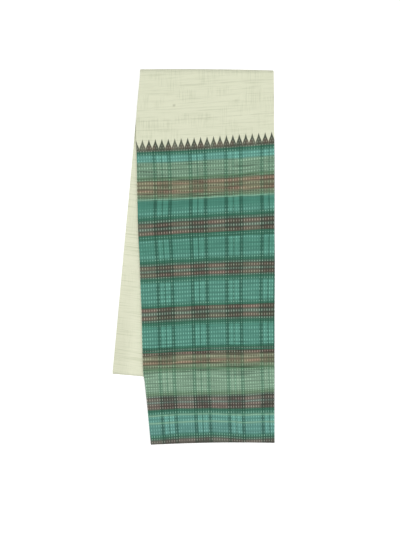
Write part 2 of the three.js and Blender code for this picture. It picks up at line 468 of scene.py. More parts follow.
class NodeBoard:
    """A material and short ways to add nodes to it."""

    def __init__(self, name: str) -> None:
        """Make the material, with its shader and output.

        Args:
            name: The material's name.
        """
        self.material = bpy.data.materials.new(name)
        self.material.use_nodes = True
        self.tree = self.material.node_tree
        self.shader = self.tree.nodes["Principled BSDF"]

    def feed(self, socket: bpy.types.NodeSocket, value: object) -> None:
        """Link a socket to another node's output, or set its own value.

        Args:
            socket: The socket to feed.
            value: The output, or the value.
        """
        if isinstance(value, bpy.types.NodeSocket):
            self.tree.links.new(value, socket)
        else:
            socket.default_value = value

    def math(self, operation: str, *values: object, clamp: bool = False) -> bpy.types.NodeSocket:
        """Add a Math node.

        Args:
            operation: Blender's name of the operation.
            values: Its inputs, numbers or other nodes' outputs.
            clamp: Whether the result stays from 0 to 1.

        Returns:
            Its output.
        """
        node = self.tree.nodes.new("ShaderNodeMath")
        node.operation = operation
        node.use_clamp = clamp
        for socket, value in zip(node.inputs, values):
            self.feed(socket, value)
        return node.outputs[0]

    def times(self, first: object, *others: object) -> bpy.types.NodeSocket:
        """Add a product of two numbers or more.

        Args:
            first: The first number.
            others: The rest.

        Returns:
            The product.
        """
        for other in others:
            first = self.math("MULTIPLY", first, other)
        return first

    def plus(self, first: object, second: object, clamp: bool = False) -> bpy.types.NodeSocket:
        """Add a sum of two numbers."""
        return self.math("ADD", first, second, clamp=clamp)

    def minus(self, first: object, second: object) -> bpy.types.NodeSocket:
        """Add a difference of two numbers."""
        return self.math("SUBTRACT", first, second)

    def over(self, first: object, second: object) -> bpy.types.NodeSocket:
        """Add a quotient of two numbers."""
        return self.math("DIVIDE", first, second)

    def rise(self, value: object, low: float, high: float) -> bpy.types.NodeSocket:
        """Add a soft step from 0 at one value to 1 at another.

        Args:
            value: The number to read.
            low: Where the step starts.
            high: Where it ends.

        Returns:
            The share risen.
        """
        node = self.tree.nodes.new("ShaderNodeMapRange")
        node.interpolation_type = "SMOOTHSTEP"
        for name, given in (("Value", value), ("From Min", low), ("From Max", high)):
            self.feed(node.inputs[name], given)
        return node.outputs["Result"]

    def patch(self, value: object, centre: float, half: float, soft: float) -> bpy.types.NodeSocket:
        """Add a mask that is 1 within a distance of a value and falls softly to 0 past it."""
        off = self.math("ABSOLUTE", self.minus(value, centre))
        return self.minus(1.0, self.rise(off, half - soft, half + soft))

    def blend(self, share: object, first: object, second: object) -> bpy.types.NodeSocket:
        """Add a mix of two numbers.

        Args:
            share: How much of the second number there is.
            first: The first number.
            second: The second number.

        Returns:
            The mix.
        """
        node = self.tree.nodes.new("ShaderNodeMix")
        node.data_type = "FLOAT"
        for socket, value in zip((node.inputs[0], node.inputs[2], node.inputs[3]), (share, first, second)):
            self.feed(socket, value)
        return node.outputs[0]

    def mix(self, share: object, first: object, second: object, blend: str = "MIX") -> bpy.types.NodeSocket:
        """Add a colour mix.

        Args:
            share: How much of the second colour there is.
            first: The first colour.
            second: The second colour.
            blend: Blender's name of the blend.

        Returns:
            The mixed colour.
        """
        node = self.tree.nodes.new("ShaderNodeMix")
        node.data_type = "RGBA"
        node.blend_type = blend
        for socket, value in zip((node.inputs[0], node.inputs[6], node.inputs[7]), (share, first, second)):
            self.feed(socket, value)
        return node.outputs[2]

    def tint(self, name: str, colour: Colour) -> bpy.types.NodeSocket:
        """Add a colour that a copy of the material can change by name.

        Args:
            name: The name to find it by.
            colour: The colour.

        Returns:
            Its output.
        """
        node = self.tree.nodes.new("ShaderNodeRGB")
        node.name = name
        node.outputs[0].default_value = linear(colour)
        return node.outputs[0]

    def number(self, name: str, value: float) -> bpy.types.NodeSocket:
        """Add a number that a copy of the material can change by name.

        Args:
            name: The name to find it by.
            value: The number.

        Returns:
            Its output.
        """
        node = self.tree.nodes.new("ShaderNodeValue")
        node.name = name
        node.outputs[0].default_value = value
        return node.outputs[0]

    def spot(self, x: object, y: object, z: object = 0.0) -> bpy.types.NodeSocket:
        """Join three numbers into a vector.

        Args:
            x: The first number.
            y: The second.
            z: The third.

        Returns:
            The vector.
        """
        node = self.tree.nodes.new("ShaderNodeCombineXYZ")
        for socket, value in zip(node.inputs, (x, y, z)):
            self.feed(socket, value)
        return node.outputs[0]

    def noise(self, across: object, along: object, grain: Grain) -> bpy.types.NodeSocket:
        """Add the noise of one unevenness of the cloth.

        Args:
            across: The stripes' coordinate.
            along: The bands' coordinate.
            grain: The unevenness.

        Returns:
            The noise, about 0.5 in the middle.
        """
        node = self.tree.nodes.new("ShaderNodeTexNoise")
        spot = self.spot(self.times(across, grain.across), self.times(along, grain.along), grain.seed)
        self.feed(node.inputs["Vector"], spot)
        node.inputs["Scale"].default_value = 1.0
        node.inputs["Detail"].default_value = grain.detail
        node.inputs["Roughness"].default_value = grain.roughness
        return node.outputs[0]

    def patches(self, across: object, along: object, grain: Grain) -> bpy.types.NodeSocket:
        """Add a mask that is 0 where an unevenness is low and 1 where it is high."""
        return self.rise(self.noise(across, along, grain), grain.low, grain.high)

    def ramp(self, share: object, stops: Sequence[tuple[float, Sequence[float]]]) -> bpy.types.Node:
        """Add a colour ramp with the given stops.

        Args:
            share: Where to read it, from 0 to 1.
            stops: Each stop's place and colour.

        Returns:
            The ramp, with the colour and its alpha as outputs.
        """
        node = self.tree.nodes.new("ShaderNodeValToRGB")
        self.feed(node.inputs[0], share)
        elements = node.color_ramp.elements
        while len(elements) < len(stops):
            elements.new(1.0)
        for element, (place, colour) in zip(elements, sorted(stops, key=lambda stop: stop[0])):
            element.position = place
            element.color = colour
        return node


@dataclass(frozen=True)
class YarnLook:
    """How one weft yarn looks: its colour and, as shares of its light, how it looks on the striped warp.

    The first share is on the groups of stripes and the second on their dark stripes. The dots are its light
    dashes.
    """

    colour: Colour
    in_group: float
    on_stripe: float
    dots: float


class Yarn(Enum):
    """The weft yarns of the border."""

    BASE = YarnLook((97, 110, 97), 0.82, 0.66, 0.90)
    PINE = YarnLook((70, 114, 98), 0.92, 0.68, 0.70)
    LIGHT_TEAL = YarnLook((98, 151, 138), 1.10, 0.58, 0.33)
    SAGE = YarnLook((117, 148, 125), 1.05, 0.69, 0.40)
    MOSS = YarnLook((102, 127, 103), 0.95, 0.79, 0.35)
    MOSS_LINE = YarnLook((94, 124, 97), 0.96, 0.82, 0.10)
    TAN_ROSE = YarnLook((138, 117, 100), 0.78, 0.72, 0.42)
    KHAKI = YarnLook((126, 130, 106), 0.72, 0.68, 0.42)
    KHAKI_GREEN = YarnLook((113, 130, 106), 0.95, 0.81, 0.35)
    KHAKI_PALE = YarnLook((130, 134, 111), 0.78, 0.72, 0.40)
    PALE_LINE = YarnLook((130, 171, 147), 0.96, 0.72, 0.20)
    TEAL = YarnLook((80, 133, 117), 1.11, 0.54, 0.24)
    DEEP_TEAL = YarnLook((76, 129, 113), 1.15, 0.54, 0.04)
    TEAL_DOTTED = YarnLook((86, 138, 123), 1.11, 0.54, 0.42)
    TEAL_END = YarnLook((74, 120, 104), 1.02, 0.61, 0.70)
    GREEN_LINE = YarnLook((58, 103, 85), 0.90, 0.70, 0.30)
    GREEN_DOTTED = YarnLook((80, 107, 93), 0.85, 0.70, 0.80)
    ROSE = YarnLook((111, 95, 86), 0.60, 0.54, 0.80)
    GREY_GREEN = YarnLook((95, 111, 98), 0.62, 0.55, 0.80)
    MEADOW = YarnLook((125, 155, 132), 1.07, 0.70, 0.36)
    MEADOW_SHADE = YarnLook((109, 138, 114), 0.97, 0.73, 0.50)
    ROSE_GREY = YarnLook((107, 97, 90), 0.58, 0.50, 0.80)
    GREY_TEAL = YarnLook((104, 118, 109), 0.56, 0.50, 0.70)
    MINT = YarnLook((92, 142, 130), 1.16, 0.51, 0.42)
    SEA = YarnLook((92, 139, 129), 1.14, 0.51, 0.38)
    PLUM = YarnLook((104, 99, 92), 0.70, 0.62, 0.60)


@dataclass(frozen=True)
class Row:
    """One weft row of the border: its width in millimetres, and how dark the line before it is."""

    yarn: Yarn
    width: float = 6.8
    line: float = 0.86


BORDER_ROWS = (
    Row(Yarn.BASE, 2.4, 1.0),
    Row(Yarn.GREEN_LINE, 1.6, 1.3),
    Row(Yarn.PINE, 4.9, 1.05),
    Row(Yarn.LIGHT_TEAL, 6.1, 1.0),
    Row(Yarn.LIGHT_TEAL, 5.7, 0.9),
    Row(Yarn.SAGE, 6.9, 0.9),
    Row(Yarn.SAGE, 6.8, 0.88),
    Row(Yarn.SAGE, 6.8, 0.88),
    Row(Yarn.SAGE, 6.7, 0.84),
    Row(Yarn.MOSS_LINE, 1.6, 1.0),
    Row(Yarn.MOSS, 4.8, 1.0),
    Row(Yarn.TAN_ROSE, 7.0, 0.78),
    Row(Yarn.KHAKI, 7.8, 0.8),
    Row(Yarn.TAN_ROSE, 7.0, 0.76),
    Row(Yarn.KHAKI_GREEN, 5.6, 0.82),
    Row(Yarn.MOSS, 3.0, 0.85),
    Row(Yarn.PALE_LINE, 2.0, 0.85),
    Row(Yarn.DEEP_TEAL, 7.5, 0.9),
    Row(Yarn.DEEP_TEAL, 5.2, 0.92),
    Row(Yarn.TEAL, 5.6, 1.0),
    Row(Yarn.TEAL_DOTTED, 6.6, 0.91),
    Row(Yarn.TEAL_END, 4.6, 0.95),
    Row(Yarn.GREEN_LINE, 3.2, 1.0),
    Row(Yarn.GREEN_DOTTED, 5.7, 1.0),
    Row(Yarn.ROSE, 6.8, 0.74),
    Row(Yarn.GREY_GREEN, 6.7, 0.74),
    Row(Yarn.ROSE, 6.9, 0.76),
    Row(Yarn.GREEN_LINE, 2.1, 1.0),
    Row(Yarn.PINE, 3.9, 1.0),
    Row(Yarn.GREEN_LINE, 2.2, 1.0),
    Row(Yarn.TEAL_DOTTED, 5.1, 0.9),
    Row(Yarn.TEAL, 7.0, 0.91),
    Row(Yarn.TEAL, 6.9, 0.91),
    Row(Yarn.TEAL, 6.6, 0.91),
    Row(Yarn.TEAL_DOTTED, 7.0, 0.91),
    Row(Yarn.TEAL_END, 4.6, 0.95),
    Row(Yarn.GREEN_LINE, 3.6, 1.0),
    Row(Yarn.GREEN_DOTTED, 4.7, 1.0),
    Row(Yarn.ROSE, 6.4, 0.74),
    Row(Yarn.GREY_GREEN, 5.6, 0.85),
    Row(Yarn.ROSE, 6.2, 0.74),
    Row(Yarn.GREEN_DOTTED, 3.5, 0.85),
    Row(Yarn.GREEN_LINE, 2.3, 1.0),
    Row(Yarn.PINE, 5.2, 1.0),
    Row(Yarn.TEAL_DOTTED, 7.0, 1.0),
    Row(Yarn.TEAL_DOTTED, 6.6),
    Row(Yarn.TEAL_DOTTED, 6.6),
    Row(Yarn.TEAL_DOTTED, 7.0),
    Row(Yarn.TEAL_DOTTED, 7.0),
    Row(Yarn.TEAL_END, 5.0, 0.92),
    Row(Yarn.GREEN_LINE, 2.6, 1.0),
    Row(Yarn.ROSE, 6.4, 0.9),
    Row(Yarn.GREY_GREEN, 7.4, 0.76),
    Row(Yarn.ROSE, 6.6, 0.74),
    Row(Yarn.GREEN_DOTTED, 4.6, 0.76),
    Row(Yarn.GREEN_LINE, 4.0, 1.0),
    Row(Yarn.TEAL_END, 3.0, 1.0),
    Row(Yarn.TEAL, 3.6, 1.0),
    Row(Yarn.TEAL_DOTTED, 6.6, 0.9),
    Row(Yarn.TEAL_DOTTED, 6.6, 0.91),
    Row(Yarn.TEAL_DOTTED, 7.0),
    Row(Yarn.TEAL_DOTTED, 7.0),
    Row(Yarn.TEAL_DOTTED, 5.0),
    Row(Yarn.GREEN_LINE, 3.6, 1.0),
    Row(Yarn.GREEN_DOTTED, 3.2, 1.0),
    Row(Yarn.GREEN_LINE, 1.8, 1.15),
    Row(Yarn.ROSE, 5.4, 0.95),
    Row(Yarn.KHAKI_PALE, 9.2, 0.66),
    Row(Yarn.TAN_ROSE, 6.4, 0.76),
    Row(Yarn.KHAKI_GREEN, 7.6, 0.82),
    Row(Yarn.MOSS_LINE, 2.2, 1.0),
    Row(Yarn.MEADOW_SHADE, 4.6, 1.1),
    Row(Yarn.MEADOW, 5.6, 1.0),
    Row(Yarn.MEADOW, 6.0, 0.90),
    Row(Yarn.MEADOW, 6.9, 0.93),
    Row(Yarn.MEADOW, 5.8, 0.92),
    Row(Yarn.MEADOW, 5.2, 0.90),
    Row(Yarn.MEADOW, 3.4, 0.88),
    Row(Yarn.MEADOW_SHADE, 3.2, 0.86),
    Row(Yarn.MOSS, 4.1, 0.84),
    Row(Yarn.GREY_GREEN, 3.8, 1.0),
    Row(Yarn.ROSE_GREY, 6.4, 0.76),
    Row(Yarn.GREY_TEAL, 3.2, 0.95),
    Row(Yarn.ROSE_GREY, 4.6, 0.95),
    Row(Yarn.ROSE_GREY, 5.5, 0.8),
    Row(Yarn.GREEN_LINE, 2.8, 1.05),
    Row(Yarn.PINE, 6.6, 1.0),
    Row(Yarn.PALE_LINE, 2.0, 0.95),
    Row(Yarn.MINT, 4.8, 0.95),
    Row(Yarn.MINT, 5.0, 0.92),
    Row(Yarn.PALE_LINE, 1.8, 0.95),
    Row(Yarn.SEA, 6.5, 0.95),
    Row(Yarn.SEA, 5.8, 0.96),
    Row(Yarn.SEA, 6.0, 0.96),
    Row(Yarn.PINE, 5.6, 1.0),
    Row(Yarn.GREEN_DOTTED, 3.6, 0.85),
    Row(Yarn.PLUM, 5.6, 0.9),
    Row(Yarn.PLUM, 12.0, 0.95),
)


@dataclass(frozen=True)
class RowChart:
    """The border's weft rows, painted from the base of the temple spikes to the selvedge.

    A ramp's colours stop at 1, so the groups' share of light is held there divided by the group scale.
    """

    rows: tuple[Row, ...] = BORDER_ROWS
    rows_to_ramp: int = 10
    dotted_part: tuple[float, float] = (0.36, 0.64)
    dot_rounding: float = 3.0
    surface_light: float = 0.012
    least_dye: float = 0.003
    group_scale: float = 2.0

    def look(self, index: int) -> tuple[Points, Points]:
        """Give a row's two readings.

        Args:
            index: Which row it is.

        Returns:
            Its dye with its dots' strength, and its shares of light on the groups and on their dark stripes.
        """
        yarn = self.rows[index].yarn.value
        dye = np.maximum(np.array(linear(yarn.colour)[:3]) - self.surface_light, self.least_dye)
        shares = np.array([yarn.in_group / self.group_scale, yarn.on_stripe, 0.0, 1.0])
        return np.append(dye, yarn.dots ** (1.0 / self.dot_rounding)), shares

    def stops(self, index: int, start: float) -> list[tuple[float, Points, Points]]:
        """Give one row's places and readings, its own ones and those of the line before it.

        Args:
            index: Which row it is.
            start: Where it starts.

        Returns:
            Its stops.
        """
        row = self.rows[index]
        body, shares = self.look(index)
        before, shares_before = self.look(max(index - 1, 0))
        line = np.append(0.5 * row.line * (body + before)[:3], 0.0)
        stops = [(start, line, 0.5 * (shares + shares_before))]
        return stops + [(start + part * row.width, body, shares) for part in self.dotted_part]

    def paint(self, board: NodeBoard, along: object) -> tuple[bpy.types.NodeSocket, ...]:
        """Add the ramps that colour the rows.

        Args:
            board: The material.
            along: The rows' coordinate, in millimetres.

        Returns:
            The dye, the dots' strength and the colour that holds the two shares of light.
        """
        starts = np.concatenate([[0.0], np.cumsum([row.width for row in self.rows])]).tolist()
        dye = dots = shares = None
        for first in range(0, len(self.rows), self.rows_to_ramp):
            last = min(first + self.rows_to_ramp, len(self.rows))
            stops = [stop for index in range(first, last) for stop in self.stops(index, starts[index])]
            if last < len(self.rows):
                stops.append(self.stops(last, starts[last])[0])
            low, high = starts[first], starts[last]
            place = board.over(board.minus(along, low), high - low)
            here = board.ramp(place, [((stop[0] - low) / (high - low), stop[1].tolist()) for stop in stops])
            light = board.ramp(place, [((stop[0] - low) / (high - low), stop[2].tolist()) for stop in stops])
            if dye is None:
                dye, dots, shares = here.outputs[0], here.outputs[1], light.outputs[0]
                continue
            past = board.math("GREATER_THAN", along, low)
            dye = board.mix(past, dye, here.outputs[0])
            shares = board.mix(past, shares, light.outputs[0])
            rest = board.times(board.minus(1.0, past), dots)
            dots = board.plus(board.times(past, here.outputs[1]), rest)
        return dye, board.math("POWER", dots, self.dot_rounding), shares


@dataclass(frozen=True)
class WarpStripes:
    """The groups of dark warp stripes that cross the border, in millimetres."""

    repeat: float = 61.63
    start: float = -190.2
    soft: float = 1.0
    stripe: float = 6.6
    first_gap: float = 7.8
    line: float = 2.4
    second_gap: float = 8.8
    line_share: float = 0.85

    def paint(self, board: NodeBoard, across: object) -> tuple[bpy.types.NodeSocket, ...]:
        """Add the stripes' ramp.

        Args:
            board: The material.
            across: The stripes' coordinate, in millimetres.

        Returns:
            1 in a group of stripes, and 1 on a dark stripe.
        """
        parts = (
            (self.stripe, 1.0),
            (self.first_gap, 0.0),
            (self.line, self.line_share),
            (self.second_gap, 0.0),
            (self.stripe, 1.0),
        )
        stops = []
        place = 0.0
        for width, dark in parts:
            for end in (place + 0.5 * self.soft, place + width - 0.5 * self.soft):
                stops.append((end / self.repeat, (dark, dark, dark, 1.0)))
            place += width
        for end in (place + 0.5 * self.soft, self.repeat - 0.5 * self.soft):
            stops.append((end / self.repeat, (0.0, 0.0, 0.0, 0.0)))
        share = board.math("FRACT", board.over(board.minus(across, self.start), self.repeat))
        ramp = board.ramp(share, stops)
        return ramp.outputs[1], ramp.outputs[0]


@dataclass(frozen=True)
class SlubAndShade:
    """A thick place in the body's weft, or a patch of painted shade, in the weave's millimetres.

    The depth is the share that it turns to the slubs' colour, which the painted shade also uses. The short
    one is a knot. The two broad ones are painted shade: a painted shadow in the gap where the back leg comes
    out from under the front leg, and painted shade darker towards the back leg's lower left margin.
    """

    across: float
    along: float
    length: float
    depth: float
    thickness: float = 1.1


BODY_SLUBS_AND_SHADE = (
    SlubAndShade(-93.0, -107.0, 226.0, 0.26),
    SlubAndShade(-160.0, -95.0, 120.0, 0.16),
    SlubAndShade(-30.0, -97.5, 90.0, 0.16),
    SlubAndShade(-36.0, -86.0, 100.0, 0.20),
    SlubAndShade(-150.0, -83.0, 140.0, 0.15),
    SlubAndShade(-22.0, -76.0, 110.0, 0.24, 1.6),
    SlubAndShade(-160.0, -69.0, 110.0, 0.18),
    SlubAndShade(-70.0, -63.0, 120.0, 0.12),
    SlubAndShade(-94.0, -50.5, 228.0, 0.30, 1.3),
    SlubAndShade(-30.0, -38.0, 100.0, 0.14),
    SlubAndShade(-165.0, -34.0, 90.0, 0.14),
    SlubAndShade(-151.3, -74.5, 4.6, 0.45, 3.6),
    SlubAndShade(-105.0, -127.0, 200.0, 0.10),
    # Painted shadow: a dark sliver on the inner cloth in the gap where the back leg comes out from under the
    # front leg's left edge.
    SlubAndShade(-207.4, -247.0, 4.2, 0.75, 42.0),
    # Painted shade: the back leg darker towards its lower left margin, near the hem.
    SlubAndShade(-211.0, -640.0, 50.0, 0.15, 200.0),
)


@dataclass(frozen=True)
class TempleSpikes:
    """The row of woven spikes along the body's side of the border, in millimetres."""

    pitch: float = 11.0
    start: float = -111.6
    height: float = 19.4
    shape: tuple[tuple[float, float], ...] = (
        (0.0, 0.50),
        (0.18, 0.49),
        (0.31, 0.42),
        (0.46, 0.31),
        (0.60, 0.20),
        (0.80, 0.095),
        (1.0, 0.0),
    )
    soft: float = 0.035
    tip_soft: float = 0.02
    bark: Colour = (78, 85, 72)
    olive: Colour = (105, 111, 95)
    rose: Colour = (124, 88, 80)
    fleck: Colour = (172, 178, 162)
    flecks: tuple[tuple[float, float], ...] = ((0.0, 0.43), (0.21, 0.2))
    fleck_reach: float = 0.06
    fleck_depth: float = 0.45
    rose_depth: float = 0.26
    rose_part: tuple[float, float, float] = (0.24, 0.2, 0.1)
    olive_grain: Grain = Grain(0.11, 1.0, detail=1.0, low=0.42, high=0.62)
    olive_line: float = 3.0
    rose_grain: Grain = Grain(0.06, 1.0, detail=1.0, low=0.4, high=0.6)
    rose_line: float = 8.0

    def paint(
        self, board: NodeBoard, across: object, along: object, stripes: object
    ) -> tuple[bpy.types.NodeSocket, ...]:
        """Add the spikes' colour and mask.

        Args:
            board: The material.
            across: The stripes' coordinate.
            along: The bands' coordinate, which is negative in the body.
            stripes: 1 inside a group of warp stripes.

        Returns:
            The spikes' colour, and 1 on a spike.
        """
        climb = board.over(board.times(along, -1.0), self.height)
        half = board.ramp(climb, [(place, (width * 2.0,) * 3 + (1.0,)) for place, width in self.shape])
        phase = board.math("FRACT", board.over(board.minus(across, self.start), self.pitch))
        off = board.math("ABSOLUTE", board.minus(phase, 0.5))
        room = board.minus(board.times(half.outputs[0], 0.5), off)
        mask = board.rise(room, -self.soft, self.soft)
        below_tip = board.rise(climb, 1.0 + self.tip_soft, 1.0 - self.tip_soft)
        above_base = board.math("GREATER_THAN", climb, 0.0)
        mask = board.times(mask, below_tip, above_base)
        olive_patches = board.patches(across, self.olive_line, self.olive_grain)
        olive_share = board.times(olive_patches, board.minus(1.0, stripes))
        colour = board.mix(olive_share, linear(self.bark), linear(self.olive))
        rose_patches = board.patches(across, self.rose_line, self.rose_grain)
        low_part = board.patch(climb, *self.rose_part)
        rose_share = board.times(low_part, board.times(rose_patches, self.rose_depth))
        colour = board.mix(rose_share, colour, linear(self.rose))
        for to_side, up in self.flecks:
            side_mask = board.patch(off, to_side, self.fleck_reach, self.fleck_reach)
            up_mask = board.patch(climb, up, self.fleck_reach, self.fleck_reach)
            share = board.times(side_mask, up_mask, self.fleck_depth)
            colour = board.mix(share, colour, linear(self.fleck))
        return colour, mask


@dataclass(frozen=True)
class WeaveFinish:
    """The handloom cloth: a cream body, temple spikes and a checked border with light dots."""

    name: str
    cream: Colour = (220, 222, 197)
    cream_shade: Colour = (196, 200, 174)
    weft_share: float = 0.65
    rib_share: float = 0.42
    long_slub: float = 20.0
    slub_and_shade_taper: float = 0.22
    # The colour of the slubs and the knot, and also of the painted shade patches.
    slub_and_shade: Colour = (146, 150, 124)
    dot: Colour = (190, 198, 184)
    dot_pitch: float = 4.62
    dot_phase: float = 0.59
    dot_half: float = 0.58
    dot_soft: float = 0.07
    dot_gain: float = 2.9
    dot_paleness: float = 0.12
    column_gain: float = 0.16
    stripe_tint: tuple[float, float, float, float] = (0.86, 1.04, 0.99, 1.0)
    weft_wave: float = 2.6
    wave_grain: Grain = Grain(0.022, 0.06, 3.0, roughness=0.6)
    weft_grain: Grain = Grain(0.014, 0.42, detail=3.0, roughness=0.65, low=0.46, high=0.74)
    warp_grain: Grain = Grain(0.62, 0.03, detail=1.0, low=0.45, high=0.65)
    open_grain: Grain = Grain(0.028, 0.035, 4.0, 1.0, low=0.41, high=0.6)
    band_grain: Grain = Grain(0.006, 0.06, 6.0)
    slub_grain: Grain = Grain(0.05, 0.1, 8.0, 1.0, low=0.3, high=0.6)
    dot_grain: Grain = Grain(0.05, 0.08, 5.0, low=0.15, high=0.62)
    column_grain: Grain = Grain(0.17, 1.0, low=0.35, high=0.65)
    column_line: float = 7.0
    rose_grain: Grain = Grain(0.016, 0.11, 2.0, 1.0, low=0.32, high=0.68)
    streak_grain: Grain = Grain(0.02, 0.7, detail=3.0, roughness=0.6, low=0.3, high=0.7)
    thread_grain: Grain = Grain(0.013, 0.5, 11.0, 1.0, roughness=0.6, low=0.51, high=0.64)
    relief_grain: Grain = Grain(0.03, 0.8, 9.0, 3.0, roughness=0.65)
    streaks: float = 0.2
    band_depth: float = 0.3
    rose_fade: float = 0.85
    rose_to_green: float = 0.45
    stripe_dot_gain: float = 0.7
    loose_soft: float = 7.0
    thread_slant: float = 0.012
    thread_depth: float = 0.10
    loose_bands: tuple[tuple[float, float, float], ...] = (
        (54.0, 34.0, 0.38),
        (360.0, 25.0, 0.38),
        (396.0, 16.0, 0.20),
    )
    thread: float = 0.85
    thread_relief: float = 0.00010
    relief_slubs: float = 3.0
    relief_strength: float = 0.6
    roughness: float = 0.85
    sheen: float = 0.06
    sheen_roughness: float = 0.5
    specular: float = 0.15
    seam_soft: float = 0.3
    chart: RowChart = field(default_factory=RowChart)
    stripes: WarpStripes = field(default_factory=WarpStripes)
    temples: TempleSpikes = field(default_factory=TempleSpikes)

    def material(self) -> bpy.types.Material:
        """Make the cloth's material.

        Returns:
            The material.
        """
        board = NodeBoard(self.name)
        uv_map = board.tree.nodes.new("ShaderNodeUVMap")
        uv_map.uv_map = WEAVE_MAP
        parted = board.tree.nodes.new("ShaderNodeSeparateXYZ")
        board.feed(parted.inputs[0], uv_map.outputs[0])
        across = board.over(parted.outputs[0], MM)
        along = board.over(parted.outputs[1], MM)
        wave = board.minus(board.noise(across, along, self.wave_grain), 0.5)
        waved = board.plus(along, board.times(wave, self.weft_wave))
        check, group = self.check(board, across, waved)
        spikes, on_spike = self.temples.paint(board, across, along, group)
        body = board.mix(on_spike, self.body(board, across, along), spikes)
        colour = board.mix(board.rise(along, -self.seam_soft, self.seam_soft), body, check)
        board.feed(board.shader.inputs["Base Color"], colour)
        board.shader.inputs["Roughness"].default_value = self.roughness
        board.shader.inputs["Sheen Weight"].default_value = self.sheen
        board.shader.inputs["Sheen Roughness"].default_value = self.sheen_roughness
        board.shader.inputs["Specular IOR Level"].default_value = self.specular
        self.relief(board, across, along)
        return board.material

    def variant(self, material: bpy.types.Material) -> bpy.types.Material:
        """Copy the cloth's material under this finish's name, with this finish's cream and unevenness.

        Args:
            material: The cloth's material.

        Returns:
            The copy.
        """
        copy = material.copy()
        copy.name = self.name
        own = {
            "cream": linear(self.cream),
            "cream_shade": linear(self.cream_shade),
            "weft_share": self.weft_share,
            "rib_share": self.rib_share,
        }
        for name, value in own.items():
            copy.node_tree.nodes[name].outputs[0].default_value = value
        return copy

    def body(self, board: NodeBoard, across: object, along: object) -> bpy.types.NodeSocket:
        """Add the plain body's colour, with its slubs, its knot and its patches of painted shade.

        Args:
            board: The material.
            across: The stripes' coordinate.
            along: The bands' coordinate.

        Returns:
            The colour.
        """
        weft = board.patches(across, along, self.weft_grain)
        shade = board.times(weft, board.number("weft_share", self.weft_share))
        open_patch = board.patches(across, along, self.open_grain)
        open_ribs = board.times(open_patch, board.number("rib_share", self.rib_share))
        ribs = board.times(board.patches(across, along, self.warp_grain), open_ribs)
        bands = board.times(board.noise(across, along, self.band_grain), self.band_depth)
        shade = board.plus(board.plus(shade, ribs), bands, clamp=True)
        cream, cream_shade = board.tint("cream", self.cream), board.tint("cream_shade", self.cream_shade)
        colour = board.mix(shade, cream, cream_shade)
        uneven = board.patches(across, along, self.slub_grain)
        # The table also holds patches of painted shade, which are mixed to the same colour as the slubs.
        for slub_and_shade in BODY_SLUBS_AND_SHADE:
            across_mask = board.patch(across, slub_and_shade.across, 0.5 * slub_and_shade.length, self.slub_and_shade_taper * slub_and_shade.length)
            along_mask = board.patch(along, slub_and_shade.along, 0.5 * slub_and_shade.thickness, 0.5 * slub_and_shade.thickness)
            share = board.times(across_mask, board.times(along_mask, slub_and_shade.depth))
            if slub_and_shade.length > self.long_slub > slub_and_shade.thickness:
                share = board.times(share, uneven)
            colour = board.mix(share, colour, linear(self.slub_and_shade))
        return colour

    def check(self, board: NodeBoard, across: object, along: object) -> tuple[bpy.types.NodeSocket, ...]:
        """Add the border's colour: rows, stripe groups and dots.

        Args:
            board: The material.
            across: The stripes' coordinate.
            along: The rows' coordinate.

        Returns:
            The colour, and 1 inside a stripe group.
        """
        group, stripe = self.stripes.paint(board, across)
        dye, dots, shares = self.chart.paint(board, along)
        colour = self.patchy_rose(board, dye, across, along)
        split = board.tree.nodes.new("ShaderNodeSeparateColor")
        board.feed(split.inputs[0], shares)
        in_group = board.times(split.outputs[0], self.chart.group_scale)
        light = board.blend(stripe, board.blend(group, 1.0, in_group), split.outputs[1])
        colour = board.mix(stripe, colour, board.mix(1.0, colour, self.stripe_tint, "MULTIPLY"))
        light = board.times(light, self.weft_light(board, across, along))
        place = board.math("FRACT", board.plus(board.over(across, self.dot_pitch), self.dot_phase))
        column = board.patch(place, 0.5, self.dot_half / self.dot_pitch, self.dot_soft)
        strength = board.times(dots, board.patches(across, along, self.dot_grain), self.dot_gain)
        strength = board.times(strength, board.plus(board.times(stripe, self.stripe_dot_gain), 1.0))
        column_fade = board.patches(across, self.column_line, self.column_grain)
        strength = board.plus(strength, board.times(column_fade, self.column_gain))
        lift = board.times(column, strength)
        light = board.times(light, board.plus(lift, 1.0))
        colour = board.mix(1.0, colour, board.spot(light, light, light), "MULTIPLY")
        return board.mix(board.times(lift, self.dot_paleness), colour, linear(self.dot)), group

    def patchy_rose(
        self, board: NodeBoard, dye: object, across: object, along: object
    ) -> bpy.types.NodeSocket:
        """Turn a rosy dye greyer and greener in patches, as the uneven yarn does.

        Args:
            board: The material.
            dye: The rows' dye.
            across: The stripes' coordinate.
            along: The rows' coordinate.

        Returns:
            The colour.
        """
        parted = board.tree.nodes.new("ShaderNodeSeparateColor")
        board.feed(parted.inputs[0], dye)
        red, green, blue = parted.outputs[:3]
        rosy = board.math("MAXIMUM", board.minus(red, green), 0.0)
        share = board.patches(across, along, self.rose_grain)
        off = board.times(rosy, board.times(share, self.rose_fade))
        joined = board.tree.nodes.new("ShaderNodeCombineColor")
        board.feed(joined.inputs[0], board.minus(red, off))
        board.feed(joined.inputs[1], board.plus(green, board.times(off, self.rose_to_green)))
        board.feed(joined.inputs[2], blue)
        return joined.outputs[0]

    def weft_light(self, board: NodeBoard, across: object, along: object) -> bpy.types.NodeSocket:
        """Add the weft's uneven light: soft streaks, and thin dark threads where it is loosely beaten.

        Args:
            board: The material.
            across: The stripes' coordinate.
            along: The rows' coordinate.

        Returns:
            The share of the light that the weft keeps.
        """
        streak = board.patches(across, along, self.streak_grain)
        light = board.minus(1.0 + 0.5 * self.streaks, board.times(streak, self.streaks))
        slanted = board.minus(along, board.times(across, self.thread_slant))
        thread = board.patches(across, slanted, self.thread_grain)
        loose = self.thread_depth
        for centre, half, depth in self.loose_bands:
            band = board.patch(along, centre, half, self.loose_soft)
            loose = board.plus(board.times(band, depth), loose)
        return board.times(light, board.minus(1.0, board.times(thread, loose)))

